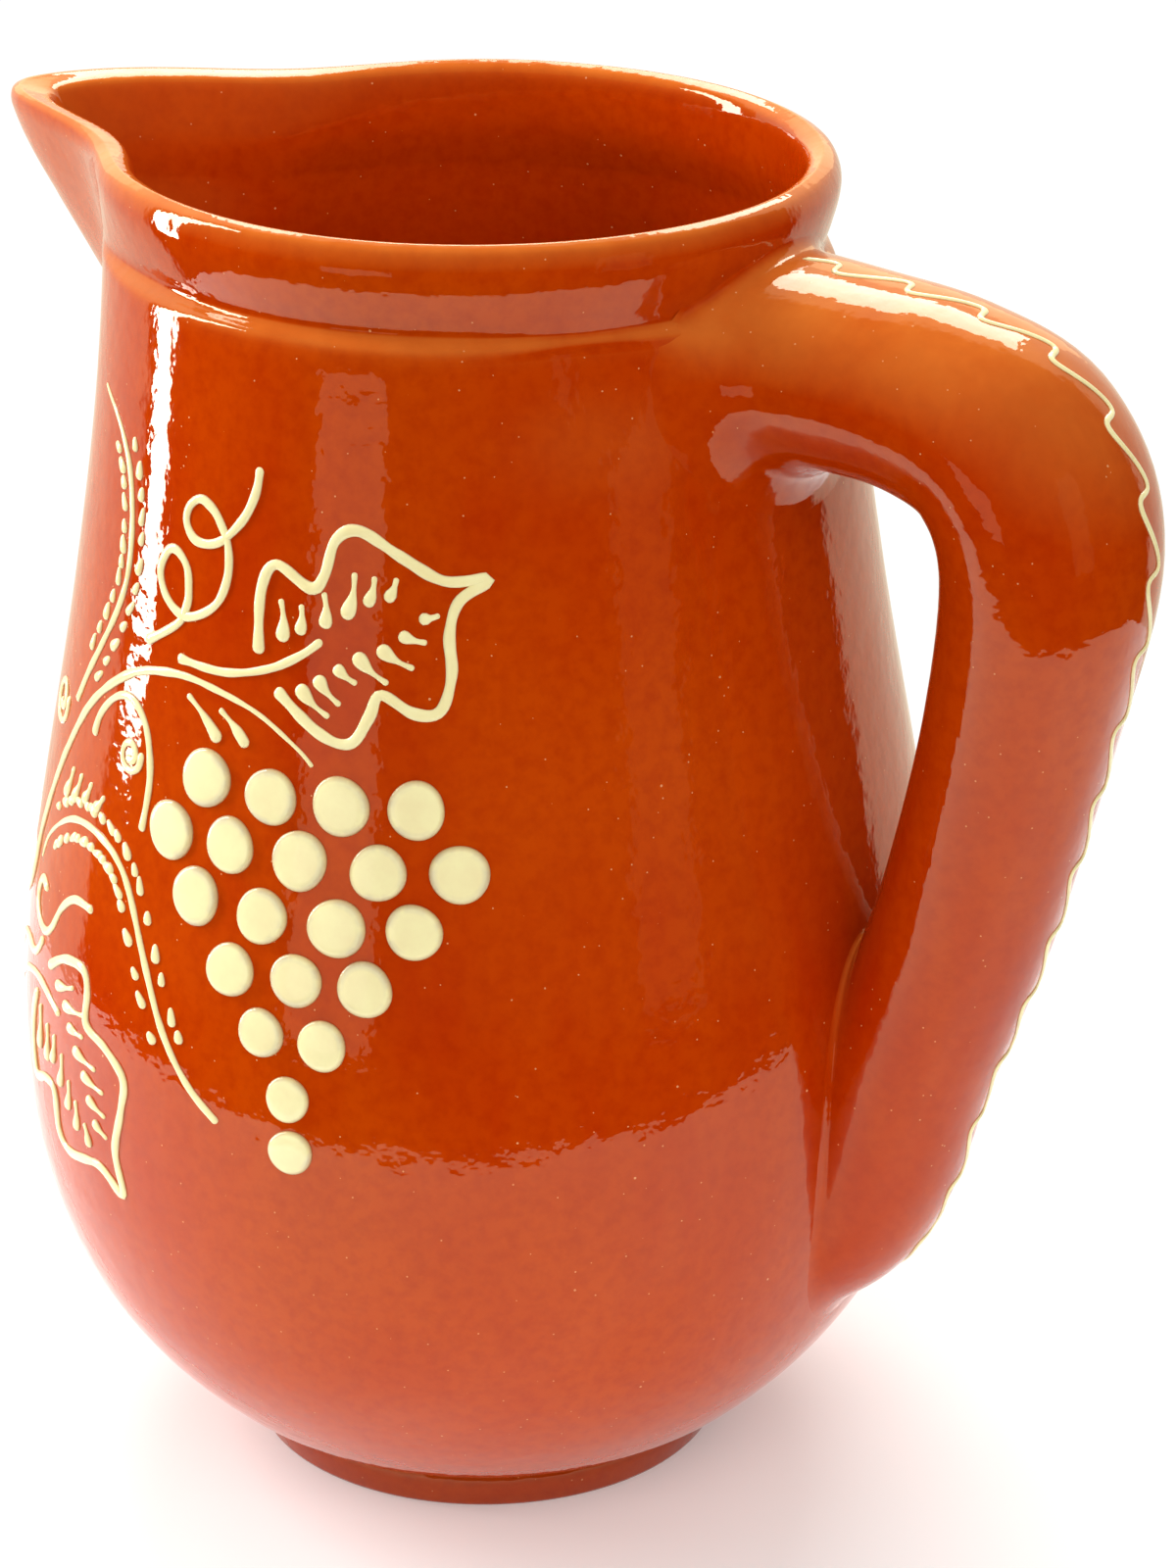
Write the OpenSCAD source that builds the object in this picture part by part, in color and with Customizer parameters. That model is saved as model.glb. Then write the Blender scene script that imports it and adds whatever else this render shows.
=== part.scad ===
// Glazed terracotta pitcher: a thrown body on a turned foot, a pulled spout, a strap handle luted
// on at both ends, and slip-trailed vines, leaves and grapes.
// The foot rests on z = 0 and the wheel axis is Z. The spout points to -X and the handle to +X.

/* [Body] */
// Height of the lip above the table
height = 220; // [200:1:240]
// Widest diameter of the belly
belly_d = 152; // [144:1:160]
// Diameter of the turned foot
foot_d = 79; // [72:1:84]
// Height of the turned foot
foot_h = 6.5; // [5:0.5:8]
// Thickness of the thrown wall
wall_t = 5; // [4:0.5:6]
// Outer diameter of the rolled lip
lip_d = 113; // [110:1:116]

/* [Spout] */
// How far the beak is pulled out past the lip's circle
spout_reach = 32; // [26:0.5:34]
// Angle from the middle of the beak to its flank
spout_flank = 13.5; // [12:0.5:16]
// How far the lip bulges outward round the beak
spout_shoulder = 4.5; // [2:0.5:7]
// Height on the neck where the pull starts, as a share of the height
spout_root = 0.76; // [0.72:0.01:0.8]
// How far the tip droops below the lip
spout_droop = 2; // [0:0.5:3]

/* [Handle] */
// Width of the strap near the top
strap_w = 39; // [34:1:42]
// Thickness of the strap near the top
strap_t = 30; // [26:1:32]

/* [Slip decoration] */
// Width of a trailed line
trail_w = 1.5; // [1:0.1:2]
// Height of a trailed line
trail_h = 0.6; // [0.5:0.1:1]
// Diameter of a large grape
grape_d = 8.8; // [8:0.1:9.2]
// Spacing of the grape rows
grape_pitch = 9.2; // [9:0.1:10]
// Distance from one wave of the handle line to the next
wave_pitch = 12.5; // [10:0.5:14]

/* [Hidden] */

glaze = [0.78, 0.30, 0.06];
raw_clay = [0.68, 0.30, 0.14];
slip = [0.98, 0.94, 0.76];
turn_fn = 96;
front = 1;
back = -1;

belly_r = belly_d / 2;
foot_r = foot_d / 2;
lip_r = lip_d / 2;
lip_t = 5.6;
lip_in = lip_r - lip_t;
neck_z = height * 0.92;
mouth_r = lip_in - 0.5;
spout_half = 84;
nose_thick = 0.1;
flank_extra = 1.6;
spout_z = height * spout_root;

// ---- smooth curves through a few points ----

// Catmull-Rom point at share t between b and c
function spline_at(a, b, c, d, t) =
    b + 0.5 * t * (c - a) + t * t * (a - 2.5 * b + 2 * c - 0.5 * d)
    + t * t * t * (1.5 * (b - c) + 0.5 * (d - a));

// The whole curve through the points, with n steps between neighbours
function smooth(pts, n) = let (last = len(pts) - 1) concat(
    [for (i = [0 : last - 1]) for (k = [0 : n - 1])
        spline_at(pts[max(i - 1, 0)], pts[i], pts[i + 1], pts[min(i + 2, last)], k / n)],
    [pts[last]]);

function flip(list) = [for (i = [len(list) - 1 : -1 : 0]) list[i]];
function unit(v) = v / norm(v);
function mix(a, b, t) = a + (b - a) * t;
function clamp01(t) = max(0, min(1, t));
function ease(t) = let (c = clamp01(t)) c * c * (3 - 2 * c);

// ---- body outline ----

// Outside of the belly and neck: share of the height, share of the belly radius
outside_shares = [
    [0.030, 0.545], [0.058, 0.665], [0.112, 0.81], [0.175, 0.917], [0.255, 0.983], [0.344, 1],
    [0.433, 0.983], [0.54, 0.93], [0.674, 0.859], [0.807, 0.8], [0.92, 0.755]
];
outside = smooth([for (s = outside_shares) [s[0] * height, s[1] * belly_r]], 4);
function wall_r(z) = lookup(z, outside);

// Inside of the wall, from the floor up
floor_z = foot_h + 3;
inside_from = height * 0.125;
inside = concat(
    smooth([[0, floor_z], [foot_r * 0.7, floor_z + 0.7], [foot_r + 7, floor_z + 7]], 4),
    [for (p = outside) if (p[0] > inside_from) [p[1] - wall_t, p[0]]]);

function to_rz(list) = [for (p = list) [p[1], p[0]]];

// Lip outline above the neck: a groove, a rolled edge and the mouth, as [radius, height]
groove_r = lip_r - 2.1;
lip_outer = smooth([
    [wall_r(neck_z), neck_z], [wall_r(neck_z) - 0.6, neck_z + 1.9], [groove_r + 0.5, neck_z + 3.2],
    [groove_r, neck_z + 4.3], [groove_r + 1, neck_z + 7.6], [lip_r - 0.1, height - 6.2],
    [lip_r, height - 3.4], [lip_r - 1, height - 1], [lip_r - lip_t / 2, height]], 3);
lip_inner = smooth([
    [lip_r - lip_t / 2, height], [lip_in + 0.9, height - 1], [lip_in, height - 3],
    [mouth_r, height - 8], [mouth_r + 0.3, height - 12], [wall_r(neck_z) - wall_t, neck_z]], 3);
// The same stretch without groove or roll, where the lip runs out into the spout
plain_r = [for (p = lip_outer) p[1] > height - 3.4 ? p[0] : mix(wall_r(neck_z), lip_r,
    (p[1] - neck_z) / (height - 3.4 - neck_z))];

module foot() {
    chamfer = 0.8;
    color(raw_clay) rotate_extrude($fn = turn_fn) polygon([
        [0, 0], [foot_r - chamfer, 0], [foot_r, chamfer], [foot_r + 0.8, foot_h],
        [0, foot_h]]);
}

module spout_gap() {
    reach = belly_r * 2;
    translate([0, 0, spout_z]) linear_extrude(height) polygon([
        [0, 0], reach * [-cos(spout_half), sin(spout_half)], [-reach * 2, reach],
        [-reach * 2, -reach], reach * [-cos(spout_half), -sin(spout_half)]]);
}

module body_wall() {
    color(glaze) difference() {
        rotate_extrude($fn = turn_fn) polygon(concat(
            [[0, foot_h]], to_rz(outside), flip(inside)));
        spout_gap();
    }
}

module rim_lip() {
    color(glaze) rotate([0, 0, 180 + spout_half])
        rotate_extrude(angle = 360 - 2 * spout_half, $fn = turn_fn)
            polygon(concat(lip_outer, [for (i = [1 : len(lip_inner) - 1]) lip_inner[i]]));
}

// ---- spout ----

// How far the wall is pulled outward at angle a from the spout's middle,
// at share h of the height from the root to the lip: a beak and a broad shoulder round it
function beak(a, h, flank) = exp(-pow(abs(a) / (flank * (0.4 + 0.6 * h)), 1.7));
function pull(a, h, flank) = spout_reach * beak(a, h, flank) * sin(90 * pow(h, 1.35))
    + spout_shoulder * pow(cos(90 * a / spout_half), 2) * h * h;
// The outside flank stands a little wider, so that the wall stays thick where it turns
function pull_out(a, h) = pull(a, h, spout_flank + flank_extra * h);
function pull_in(a, h) = pull(a, h, spout_flank) * (1 - nose_thick * beak(a, 1, spout_flank));
function droop(a) = spout_droop * (exp(-a * a / 60) + exp(-pow(a / 46, 4))) / 2;

// Column of outline points at angle a, from the root up the outside and down the inside
neck_part = [for (p = outside) if (p[0] > spout_z + 1 && p[0] < neck_z - 1) p];
function column(a) =
    let (roll = ease((abs(a) - 18) / 26),
         up = concat([[wall_r(spout_z), spout_z]], to_rz(neck_part),
            [for (i = [0 : len(lip_outer) - 1])
                [mix(plain_r[i], lip_outer[i][0], roll), lip_outer[i][1]]]),
         down = concat([for (i = [1 : len(lip_inner) - 1]) lip_inner[i]],
            flip([for (p = neck_part) [p[1] - wall_t, p[0]]]),
            [[wall_r(spout_z) - wall_t, spout_z]]))
    [for (i = [0 : len(up) + len(down) - 1])
        let (p = i < len(up) ? up[i] : down[i - len(up)],
             h = (p[1] - spout_z) / (height - spout_z),
             r = p[0] + (i < len(up) ? pull_out(a, h) : pull_in(a, h)))
        [-r * cos(a), r * sin(a), p[1] - droop(a) * pow(h, 4)]];

// Closed skin over a row of equal loops of points
function loop_faces(rows, n) = [for (i = [0 : rows - 2]) for (k = [0 : n - 1])
    let (a = i * n + k, b = i * n + (k + 1) % n) each [[a, b, b + n], [a, b + n, a + n]]];

module spout() {
    steps = 44;
    // columns stand closer together near the beak
    columns = [for (i = [steps : -1 : 0])
        let (share = 2 * i / steps - 1) column(spout_half * sign(share) * pow(abs(share), 1.35))];
    n = len(columns[0]);
    color(glaze) polyhedron(
        points = [for (c = columns) each c],
        faces = concat(loop_faces(steps + 1, n),
            [[for (k = [n - 1 : -1 : 0]) k], [for (k = [0 : n - 1]) steps * n + k]]),
        convexity = 6);
}

// ---- handle ----

// Middle line of the strap: [distance from the axis, height], as shares of the height
strap_shares = [
    [0.215, 0.891], [0.305, 0.891], [0.382, 0.883], [0.441, 0.855], [0.4685, 0.786],
    [0.4505, 0.662], [0.4177, 0.526], [0.391, 0.4455], [0.368, 0.383], [0.3435, 0.301],
    [0.315, 0.248], [0.262, 0.205]
];
strap_line = [for (s = strap_shares) s * height];
// Width and thickness at those points, as shares of the full width and thickness
strap_sizes = [
    [1.15, 1.1], [1.05, 1], [1, 1], [1, 1.06], [0.97, 1.07], [0.82, 0.97], [0.77, 0.93],
    [0.75, 0.92], [0.74, 0.92], [0.74, 0.9], [0.72, 0.85], [0.66, 0.8]
];
strap_steps = 6;
strap_mid = smooth(strap_line, strap_steps);
strap_size = smooth(strap_sizes, strap_steps);
strap_last = len(strap_mid) - 1;
strap_sides = 28;

function strap_dir(i) = unit(strap_mid[min(i + 1, strap_last)] - strap_mid[max(i - 1, 0)]);
// Point on the strap's skin: i runs along it, a runs round it from the outer side
function strap_node(i, a) =
    let (t = strap_dir(i), c = strap_mid[i], s = strap_size[i],
         out = cos(a) * strap_t / 2 * s[1], side = sin(a) * strap_w / 2 * s[0])
    [c[0] - t[1] * out, side, c[1] + t[0] * out];
function strap_at(u, a) = let (i = min(floor(u), strap_last - 1))
    mix(strap_node(i, a), strap_node(i + 1, a), u - i);
skin = concat(outside, [for (i = [1 : len(lip_outer) - 1]) [lip_outer[i][1], lip_outer[i][0]]]);
function outside_wall(p) = norm([p[0], p[1]]) > lookup(p[2], skin);
// Where the skin's line at angle a comes out of the wall, between u = low inside and high outside
function exit_at(a, low, high, n = 14) = let (m = (low + high) / 2)
    n == 0 ? high
    : outside_wall(strap_at(m, a)) ? exit_at(a, low, m, n - 1) : exit_at(a, m, high, n - 1);

strap_from = 1.5 * strap_steps;
strap_to = 6 * strap_steps;

// Strap between two rows of positions along it, one position for each side line
module strap_piece(starts, ends, rows) {
    step = 360 / strap_sides;
    pts = [for (j = [0 : rows]) for (k = [0 : strap_sides - 1])
        strap_at(mix(starts[k], ends[k], j / rows), k * step)];
    n = strap_sides;
    mid_a = (pts[0] + pts[n / 2]) / 2;
    mid_b = (pts[rows * n] + pts[rows * n + n / 2]) / 2;
    caps = len(pts);
    polyhedron(
        points = concat(pts, [mid_a, mid_b]),
        faces = concat(loop_faces(rows + 1, n),
            [for (k = [0 : n - 1]) [caps, (k + 1) % n, k]],
            [for (k = [0 : n - 1]) [caps + 1, rows * n + k, rows * n + (k + 1) % n]]),
        convexity = 8);
}

function all_sides(u) = [for (k = [0 : strap_sides - 1]) u];

module handle() {
    color(glaze) strap_piece(all_sides(strap_from), all_sides(strap_to), 30);
}

module upper_joint_clay() {
    starts = [for (k = [0 : strap_sides - 1]) exit_at(k * 360 / strap_sides, 0, strap_from)];
    color(glaze) strap_piece(starts, all_sides(strap_from), 6);
}

module lower_joint_clay() {
    ends = [for (k = [0 : strap_sides - 1]) exit_at(k * 360 / strap_sides, strap_last, strap_to)];
    color(glaze) strap_piece(all_sides(strap_to), ends, 14);
}

// ---- slip decoration ----
// Places on the wall are [angle from the motif's edge under the spout, height]; the front is
// the -Y side.
motif_turn = 3;

function on_wall(p, lift_by, side) =
    let (r = wall_r(p[1]) + lift_by, a = 180 + side * (p[0] + motif_turn))
    [r * cos(a), r * sin(a), p[1]];
// Step by d millimetres across a line that runs from p to q
function across(p, q, d) =
    let (r = wall_r(p[1]), arc = r * PI / 180, t = unit([(q[0] - p[0]) * arc, q[1] - p[1]]))
    [-t[1] * d / arc, t[0] * d];

// Rings of a rounded trail; widths holds the width at each point
function trail_rings(pts, widths, side) = [for (i = [0 : len(pts) - 1])
    let (w = widths[i] / 2, h = trail_h * min(1, widths[i] / trail_w),
         off = across(pts[max(i - 1, 0)], pts[min(i + 1, len(pts) - 1)], 1),
         row = [on_wall(pts[i] + off * w, 0, side), on_wall(pts[i] + off * w * 0.7, h * 0.75, side),
            on_wall(pts[i], h, side), on_wall(pts[i] - off * w * 0.7, h * 0.75, side),
            on_wall(pts[i] - off * w, 0, side)])
    side > 0 ? flip(row) : row];

module trail(pts, widths, side) {
    rings = trail_rings(pts, widths, side);
    n = 5;
    last = len(rings) - 1;
    polyhedron(
        points = [for (r = rings) each r],
        faces = concat(loop_faces(last + 1, n),
            [[for (k = [n - 1 : -1 : 0]) k], [for (k = [0 : n - 1]) last * n + k]]));
}

// Trail of even width with fine ends
module line(points, side, steps = 3) {
    pts = smooth(points, steps);
    last = len(pts) - 1;
    trail(pts, [for (i = [0 : last]) trail_w * (i == 0 || i == last ? 0.5 : 1)], side);
}

// Drop from a fine tail to a round head
module drop(tail, head, side) {
    shares = [0, 0.45, 0.8, 1];
    widths = [0.35, 0.75, 1.25, 0.55];
    trail([for (s = shares) mix(tail, head, s)], widths * trail_w, side);
}

// Round dot that stands on the wall
module dot(place, d, h, side) {
    r = wall_r(place[1]);
    lean = atan2(wall_r(place[1] - 1) - wall_r(place[1] + 1), 2);
    rotate([0, 0, 180 + side * (place[0] + motif_turn)]) translate([r, 0, place[1]])
        rotate([0, 90 - lean, 0]) rotate_extrude($fn = 24) polygon([
            [0, 0], [d / 2, 0], [d / 2 - h * 0.3, h * 0.7], [d / 2 - h, h], [0, h]]);
}

bead_d = 1.7;
// Row of dots at a distance d beside a line, from share a to share b of it
module beads(points, side, d, a, b, count) {
    pts = smooth(points, 4);
    last = len(pts) - 1;
    for (k = [0 : count - 1]) {
        i = round(last * mix(a, b, k / (count - 1)));
        off = across(pts[max(i - 1, 0)], pts[min(i + 1, last)], d);
        dot(pts[i] + off, bead_d, trail_h * 0.9, side);
    }
}

stem_points = [
    [-motif_turn, 86], [14, 88], [29, 94], [40, 101], [43, 112], [47, 122], [51, 130], [56, 138],
    [62, 144], [69, 148.5], [77, 150.5], [84, 150], [91, 148], [97, 144], [99.5, 141.5]
];
leaf_points = [
    [90.5, 157], [90.3, 166.5], [92.5, 171], [98, 168.3], [100, 170.5], [101.5, 176], [105, 177.7],
    [111, 174.3], [117, 171], [123, 171.3], [119, 168], [117.7, 163], [118, 157], [116.5, 151.5],
    [113, 151], [108.5, 153.5], [107, 150], [104.5, 145.7], [100, 146.8], [93.5, 152.3]
];
leaf_rib = [[76.5, 153], [85, 153], [92, 155], [97, 158], [100, 160.7]];
leaf_drops = [
    [[93.5, 166], [94, 159.5]], [[96.7, 165.7], [96.6, 161]], [[100, 168], [100.3, 162.5]],
    [[104.4, 171.5], [103.2, 164.3]], [[107.3, 171.2], [106.2, 166.5]],
    [[110.4, 171.2], [109, 167.5]], [[116.4, 165.9], [113.5, 165.2]],
    [[114.7, 161.7], [110.8, 162.8]], [[113, 157.7], [108, 160.7]], [[109.5, 155.2], [104.8, 159.4]],
    [[105.2, 154.8], [102, 157.2]], [[103, 151.3], [99.4, 155.3]], [[101.5, 149.3], [96.8, 153.5]]
];
tendril_top = [
    [89, 185], [88.5, 181], [86.5, 176.5], [82.5, 172.3], [78.3, 171.5], [76, 173.7],
    [76.3, 176.3], [78.5, 178], [81, 177], [82.6, 175.2]
];
tendril_mid = [
    [84.2, 172.2], [84.5, 167.3], [82.5, 162.5], [77.5, 159.6], [73.3, 161.2], [71.2, 165],
    [72.5, 168.5], [74.5, 169], [76.8, 167], [77.5, 163.5], [77.4, 161.5]
];
tendril_end = [[76.3, 158.6], [73.5, 156.2], [69.5, 153.5]];
upper_sprig_points = [
    [48, 187.3], [55, 184], [60, 179], [62.3, 173], [63.2, 167], [63, 161], [61, 155], [57.5, 148.5],
    [54, 142.5], [51.3, 137]
];
lower_sprig_points = [
    [45.5, 108], [47, 112], [50.5, 115.8], [55.4, 119.2], [60, 120.5], [64.5, 120.2], [68.6, 118.5],
    [72, 114.5], [76, 105.5], [80.3, 95], [84.5, 88], [89, 83.3]
];
low_leaf_points = [
    [54.3, 94], [59, 97.6], [64, 98.4], [65.5, 95.5], [65.7, 90], [70, 88], [73.7, 84.5],
    [73.3, 79], [71.8, 71], [72.7, 63.7], [68, 66.5], [60.5, 64.7], [57.4, 67], [56.8, 73.5],
    [53.5, 74], [49.5, 72.3], [48.3, 77], [48.7, 83], [50, 87.6]
];
low_leaf_rib = [[30, 77], [37, 83], [44, 88], [51, 90], [58.5, 87.8]];
low_leaf_drops = [
    [[62, 94.2], [57, 92.3]], [[65, 91], [59.5, 90.3]], [[65, 87.3], [61, 87.4]],
    [[68, 83.2], [62.7, 84.4]], [[69.7, 80], [64.8, 81.2]], [[70, 76], [66, 77.7]],
    [[70.2, 72.4], [67.3, 74.2]], [[51.7, 86], [51.3, 78]], [[54.5, 84.2], [54.3, 77.5]],
    [[57, 83.6], [56.3, 78.3]], [[59.4, 81.6], [58.5, 75.4]], [[61.3, 78], [60.6, 72.5]],
    [[63, 75.4], [62.8, 70]], [[65, 72.5], [66, 68.6]]
];
low_tendril_points = [
    [64.7, 108.3], [60, 108], [56.5, 105], [54, 100.5], [51.5, 98.5], [48.2, 99.5], [46.6, 102.5],
    [47.8, 105.6], [50.5, 104.9]
];
low_tendril_end = [[51, 97], [49.5, 94.5], [47, 92.7], [43, 93], [38, 91], [31, 84.5]];
swirl_points = [
    [59, 134.5], [60, 138.3], [63, 142], [66.4, 143.7], [69.5, 142.8], [72, 139.5], [73.5, 133],
    [73, 124.5]
];
small_drop_places = [
    [[54, 127.2], [52, 121.6]], [[57, 127.4], [55, 122]], [[60.2, 127.3], [58.4, 123.4]],
    [[64, 126.6], [61.7, 123.6]], [[79, 148], [85.2, 142.3]], [[84.8, 147.3], [89.7, 142.6]]
];
edge_swirl_middle = [44, 134.5];
swirl_middle = [68.8, 135.3];

// Spiral of so many turns, out to radius r in millimetres
function spiral(middle, r, turns, start) = let (n = 10 * turns, arc = wall_r(middle[1]) * PI / 180)
    [for (i = [0 : n]) let (s = r * (0.25 + 0.75 * i / n), a = start + 36 * i)
        middle + [s * cos(a) / arc, s * sin(a)]];

module main_stem(side) {
    color(slip) line(stem_points, side);
}

// Each row's number of grapes, the angle between them, and their size as a share
grape_rows = [
    [4, 10.1, 1], [5, 10.1, 1], [4, 9.8, 1], [3, 9, 0.95], [2, 8.2, 0.88], [1, 0, 0.84], [1, 0, 0.84]
];
grape_middle = 98.6;
grape_h = 1;
grape_top = height * 0.619;
module grapes(side) {
    color(slip) for (i = [0 : len(grape_rows) - 1]) for (k = [0 : grape_rows[i][0] - 1]) {
        row = grape_rows[i];
        angle = grape_middle + (k - (row[0] - 1) / 2) * row[1];
        dot([angle, grape_top - i * grape_pitch], grape_d * row[2], grape_h, side);
    }
}

module leaf_outline(side) {
    color(slip) line(leaf_points, side);
}

module leaf_veins(side) {
    color(slip) {
        line(leaf_rib, side);
        for (d = leaf_drops) drop(d[0], d[1], side);
    }
}

module tendril(side) {
    color(slip) for (part = [tendril_top, tendril_mid, tendril_end]) line(part, side);
}

module sprig(points, side, left, right, count) {
    color(slip) {
        line(points, side);
        beads(points, side, left, 0.2, 0.84, count);
        beads(points, side, -right, 0.16, 0.82, count);
    }
}

module swirl(side) {
    color(slip) {
        line(swirl_points, side);
        line(spiral(swirl_middle, 3, 1.5, 200), side, 1);
        line(spiral(edge_swirl_middle, 4.4, 1.5, 200), side, 1);
    }
}

module small_drops(side) {
    color(slip) for (d = small_drop_places) drop(d[0], d[1], side);
}

module low_leaf_outline(side) {
    color(slip) line(low_leaf_points, side);
}

module low_leaf_veins(side) {
    color(slip) {
        line(low_leaf_rib, side);
        for (d = low_leaf_drops) drop(d[0], d[1], side);
    }
}

module low_tendril(side) {
    color(slip) for (part = [low_tendril_points, low_tendril_end]) line(part, side);
}

// Wavy line down the outer side of the strap, from the lip to the lower joint
strap_run = [for (i = [0 : strap_last]) i == 0 ? 0 : norm(strap_node(i, 0) - strap_node(i - 1, 0))];
function run_to(i) = i <= 0 ? 0 : run_to(i - 1) + strap_run[i];
run_table = [for (i = [0 : strap_last]) [run_to(i), i]];
index_table = [for (p = run_table) [p[1], p[0]]];

module handle_wave_line() {
    per_wave = 6;
    wave_tall = 1.9;
    drift = 2.2;
    hook = 1.2;
    from = lookup(exit_at(0, 0, strap_from), index_table) + 1.5;
    to = lookup(exit_at(0, strap_last, strap_to), index_table) - 14;
    n = round((to - from) / wave_pitch) * per_wave;
    w = trail_w * 0.9;
    h = trail_h * 0.75;
    rings = [for (j = [0 : n])
        let (phase = j * 360 / per_wave,
             u = lookup(mix(from, to, j / n) + hook * sin(phase), run_table), i = round(u),
             side = wave_tall * sin(phase) + drift * ease(j / n * 2),
             here = strap_at(u, asin(side / (strap_w / 2 * strap_size[i][0]))),
             dir = strap_dir(i),
             out = [-dir[1], 0, dir[0]],
             fine = (j == 0 || j == n) ? 0.5 : 1)
        [here + [0, -w / 2 * fine, 0], here + [0, -w * 0.35 * fine, 0] + out * h,
            here + [0, w * 0.35 * fine, 0] + out * h, here + [0, w / 2 * fine, 0]]];
    color(slip) polyhedron(
        points = [for (r = rings) each r],
        faces = concat(loop_faces(n + 1, 4), [[3, 2, 1, 0], [for (k = [0 : 3]) n * 4 + k]]));
}

body_wall();
foot();
rim_lip();
spout();
upper_joint_clay();
handle();
lower_joint_clay();
handle_wave_line();
main_stem(front);  // front_main_stem
grapes(front);  // front_grapes
leaf_outline(front);  // front_leaf_outline
leaf_veins(front);  // front_leaf_veins
tendril(front);  // front_tendril
sprig(upper_sprig_points, front, 3, 2.6, 12);  // front_upper_sprig
sprig(lower_sprig_points, front, 2.9, 2.9, 17);  // front_lower_sprig
swirl(front);  // front_swirl
small_drops(front);  // front_small_drops
low_leaf_outline(front);  // front_low_leaf_outline
low_leaf_veins(front);  // front_low_leaf_veins
low_tendril(front);  // front_low_tendril
main_stem(back);  // back_main_stem
grapes(back);  // back_grapes
leaf_outline(back);  // back_leaf_outline
leaf_veins(back);  // back_leaf_veins
tendril(back);  // back_tendril
sprig(upper_sprig_points, back, 3, 2.6, 12);  // back_upper_sprig
sprig(lower_sprig_points, back, 2.9, 2.9, 17);  // back_lower_sprig
swirl(back);  // back_swirl
small_drops(back);  // back_small_drops
low_leaf_outline(back);  // back_low_leaf_outline
low_leaf_veins(back);  // back_low_leaf_veins
low_tendril(back);  // back_low_tendril
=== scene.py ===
import math
import bpy
import bmesh
import numpy as np
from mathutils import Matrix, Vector


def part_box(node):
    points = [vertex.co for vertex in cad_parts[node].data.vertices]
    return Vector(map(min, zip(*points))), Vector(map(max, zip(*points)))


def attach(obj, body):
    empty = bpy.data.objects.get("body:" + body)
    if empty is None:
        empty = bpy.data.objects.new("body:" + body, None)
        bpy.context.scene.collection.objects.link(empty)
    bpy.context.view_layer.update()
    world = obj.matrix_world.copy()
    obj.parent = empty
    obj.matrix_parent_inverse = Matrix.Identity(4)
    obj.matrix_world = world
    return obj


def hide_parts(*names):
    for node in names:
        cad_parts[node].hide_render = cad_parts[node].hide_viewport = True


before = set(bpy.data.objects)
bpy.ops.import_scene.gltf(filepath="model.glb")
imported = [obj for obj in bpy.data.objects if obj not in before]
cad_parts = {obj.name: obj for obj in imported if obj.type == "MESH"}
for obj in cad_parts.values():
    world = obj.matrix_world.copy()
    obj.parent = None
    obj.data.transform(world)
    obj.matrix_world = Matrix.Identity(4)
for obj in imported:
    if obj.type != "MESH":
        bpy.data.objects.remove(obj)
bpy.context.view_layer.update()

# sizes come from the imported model, in millimetres until a mesh is made
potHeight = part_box("rim_lip")[1][2] * 1000
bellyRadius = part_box("body_wall")[1][1] * 1000
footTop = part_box("foot")[1][2] * 1000
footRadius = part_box("foot")[1][0] * 1000 - 0.8
print("frame loaded: height", round(potHeight, 1), "belly radius", round(bellyRadius, 1))


# curves and small helpers

def curvePoint(points, u):
    last = len(points) - 1
    i = min(max(int(u), 0), last - 1)
    t = u - i
    a, b, c, d = points[max(i - 1, 0)], points[i], points[i + 1], points[min(i + 2, last)]
    return (b + 0.5 * t * (c - a) + t * t * (a - 2.5 * b + 2 * c - 0.5 * d)
            + t ** 3 * (1.5 * (b - c) + 0.5 * (d - a)))


def smoothCurve(points, steps):
    points = np.array(points, float)
    count = (len(points) - 1) * steps
    return np.array([curvePoint(points, k / steps) for k in range(count)] + [points[-1]])


def ease(t):
    t = min(max(t, 0.0), 1.0)
    return t * t * (3 - 2 * t)


def unit(v):
    return v / (np.linalg.norm(v) + 1e-12)


def gridFaces(rows, columns):
    # quads over rings of points
    faces = []
    for i in range(rows - 1):
        for k in range(columns):
            n = (k + 1) % columns
            faces.append((i * columns + k, i * columns + n, (i + 1) * columns + n, (i + 1) * columns + k))
    return faces


def makePiece(name, points, faces, materials, nodes, shade=None, faceMaterial=None):
    mesh = bpy.data.meshes.new(name)
    mesh.from_pydata([tuple(p * 0.001) for p in points], [], faces)
    for m in materials:
        mesh.materials.append(m)
    if shade is not None:
        mesh.attributes.new("edgeShade", "FLOAT", "POINT").data.foreach_set("value", shade)
    if faceMaterial is not None:
        mesh.polygons.foreach_set("material_index", faceMaterial)
    work = bmesh.new()
    work.from_mesh(mesh)
    bmesh.ops.recalc_face_normals(work, faces=work.faces)
    work.to_mesh(mesh)
    work.free()
    mesh.polygons.foreach_set("use_smooth", [True] * len(mesh.polygons))
    piece = bpy.data.objects.new(name, mesh)
    bpy.context.scene.collection.objects.link(piece)
    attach(piece, "root")
    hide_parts(*nodes)


# finishes

def newTree(name):
    material = bpy.data.materials.new(name)
    material.use_nodes = True
    tree = material.node_tree
    return material, tree, tree.nodes["Principled BSDF"]


def fillSocket(tree, socket, value):
    # an output is linked, a plain value is set on the socket itself
    if isinstance(value, bpy.types.NodeSocket):
        tree.links.new(value, socket)
    else:
        socket.default_value = value


def addNode(tree, kind, settings=None, **inputs):
    node = tree.nodes.new(kind)
    for key, value in (settings or {}).items():
        setattr(node, key, value)
    for key, value in inputs.items():
        fillSocket(tree, node.inputs[key], value)
    return node


def objectPlace(tree):
    return tree.nodes.new("ShaderNodeTexCoord").outputs["Object"]


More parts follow.
